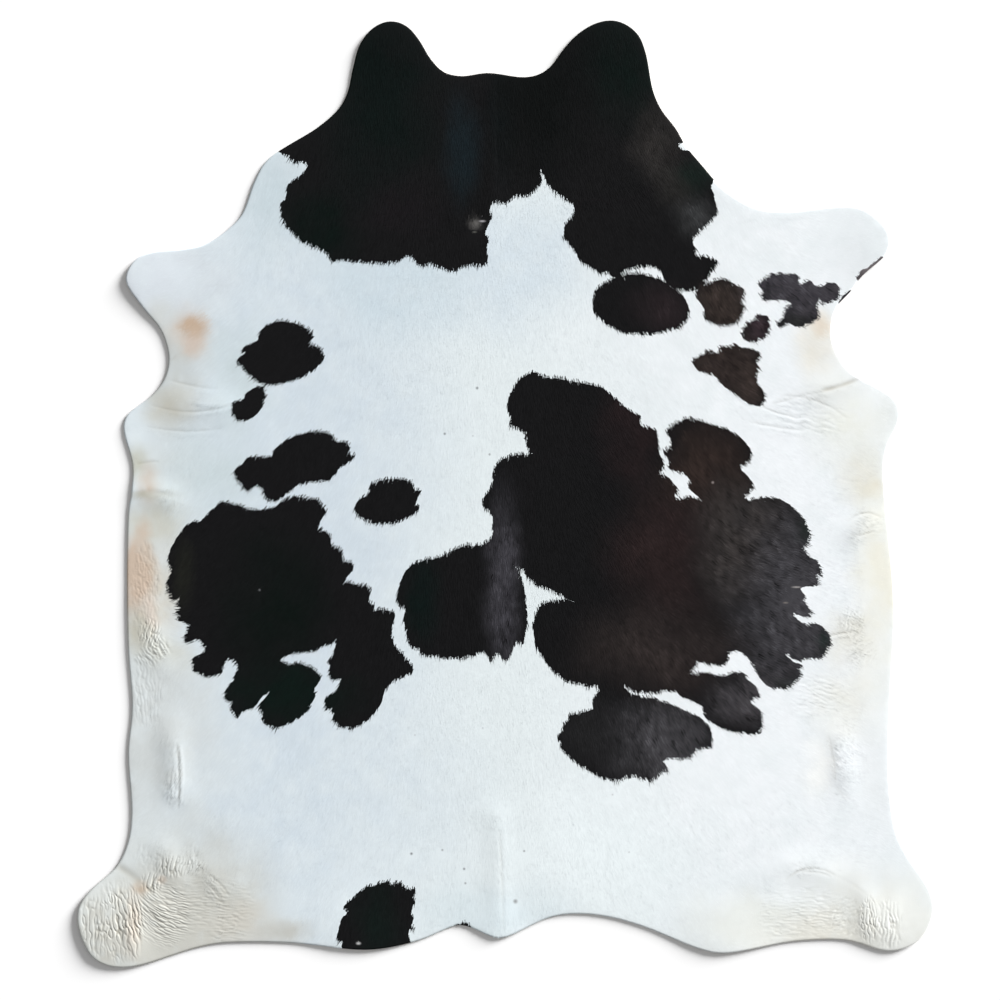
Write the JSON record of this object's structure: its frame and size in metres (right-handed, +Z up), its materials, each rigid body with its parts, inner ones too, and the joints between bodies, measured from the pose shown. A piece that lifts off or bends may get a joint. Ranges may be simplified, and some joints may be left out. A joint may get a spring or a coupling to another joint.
{
  "type": "cowhide rug",
  "caption": "Flat one-piece cowhide rug with short black and white hair, cut to a hide's natural outline with neck, legs and tail stub.",
  "frame": {"origin": "on the floor, under the middle of the hide", "axes": "+Y towards the neck, +X to the right seen from above with the neck away, +Z up from the hair side"},
  "size_m": [1.9674, 2.1754, 0.0133],
  "materials": {
    "hide": "short combed hair, white with black patches, on a pale suede back"
  },
  "bodies": {
    "root": {"hide": "hide"}
  },
  "joints": []
}
